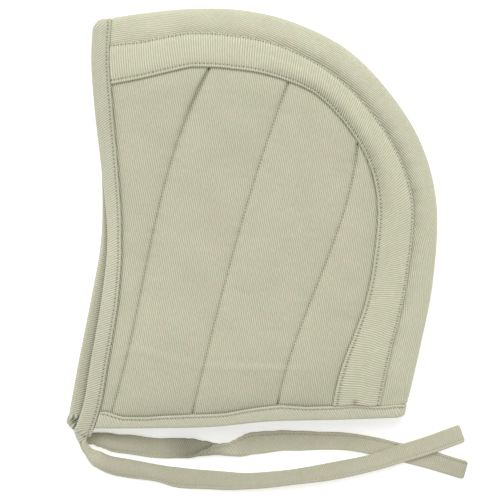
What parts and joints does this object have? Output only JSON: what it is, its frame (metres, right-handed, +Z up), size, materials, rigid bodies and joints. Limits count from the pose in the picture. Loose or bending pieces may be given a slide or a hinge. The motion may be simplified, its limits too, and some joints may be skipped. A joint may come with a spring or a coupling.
{
  "type": "arming cap",
  "caption": "Quilted cloth arming cap with crown gusset, topstitched bands, bound edges and flat tape ties, lying on its side.",
  "frame": {"origin": "middle of the footprint of the cap without its ties, on the surface it lies on", "axes": "+Y from the neck edge up to the crown, +X from the face opening to the back of the head, +Z up from the surface through the flattened cap"},
  "size_m": [0.2744, 0.328, 0.0336],
  "materials": {
    "panel_twill": "undyed cotton twill, padded and quilted",
    "strip_twill": "undyed cotton twill, topstitched",
    "binding_twill": "cotton twill tape, folded and stitched",
    "tie_twill": "cotton twill tape, edge stitched"
  },
  "bodies": {
    "root": {"side_panel_near": "panel_twill", "side_panel_far": "panel_twill", "crown_gusset": "strip_twill", "seam_band_near": "strip_twill", "seam_band_far": "strip_twill", "face_binding": "binding_twill", "neck_binding": "binding_twill", "tie_near": "tie_twill", "tie_far": "tie_twill"}
  },
  "joints": []
}
